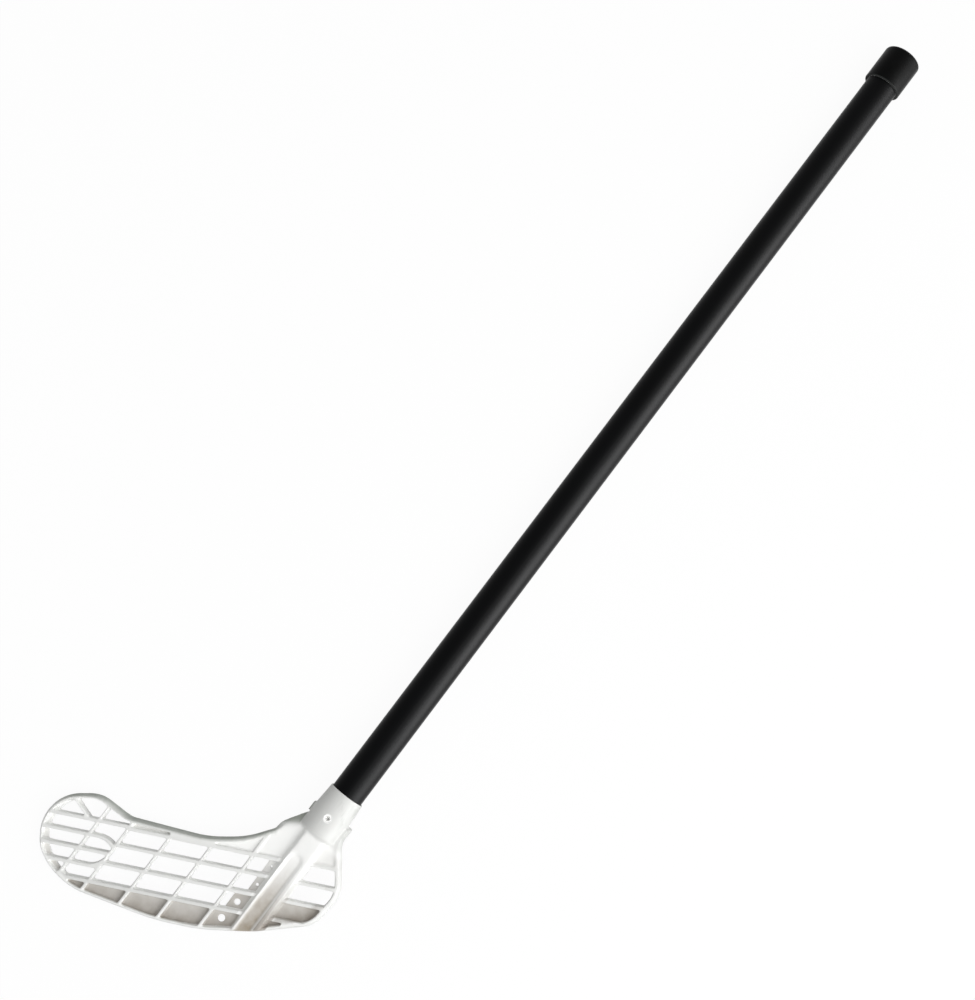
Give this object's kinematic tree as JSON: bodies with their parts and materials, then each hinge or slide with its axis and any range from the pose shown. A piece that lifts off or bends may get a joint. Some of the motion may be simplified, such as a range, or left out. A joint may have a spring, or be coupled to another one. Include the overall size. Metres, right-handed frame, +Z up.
{
  "type": "floorball stick",
  "caption": "Floorball stick: a moulded white lattice blade whose socket takes a round black tube shaft, held by a screw, with a rubber cap on the shaft's end.",
  "frame": {"origin": "under the middle of the lying stick's box, on the floor", "axes": "+X along the shaft from the blade to the end cap, +Z up off the floor, so +Y points to the blade's toe"},
  "size_m": [0.9716, 0.2302, 0.033],
  "materials": {
    "blade_plastic": "moulded satin",
    "shaft_tube": "satin",
    "cap_rubber": "matte",
    "screw_steel": "turned"
  },
  "bodies": {
    "stick": {"shaft": "shaft_tube", "blade": "blade_plastic"},
    "end_cap": {"end_cap": "cap_rubber"},
    "socket_screw": {"socket_screw": "screw_steel"}
  },
  "joints": [
    {"name": "cap_pull", "type": "slide", "parent": "stick", "child": "end_cap", "axis": [1, 0, 0], "range_m": [0, 0.045]},
    {"name": "screw_out", "type": "slide", "parent": "stick", "child": "socket_screw", "axis": [0, 0.0573, 0.9984], "range_m": [0, 0.012]}
  ]
}
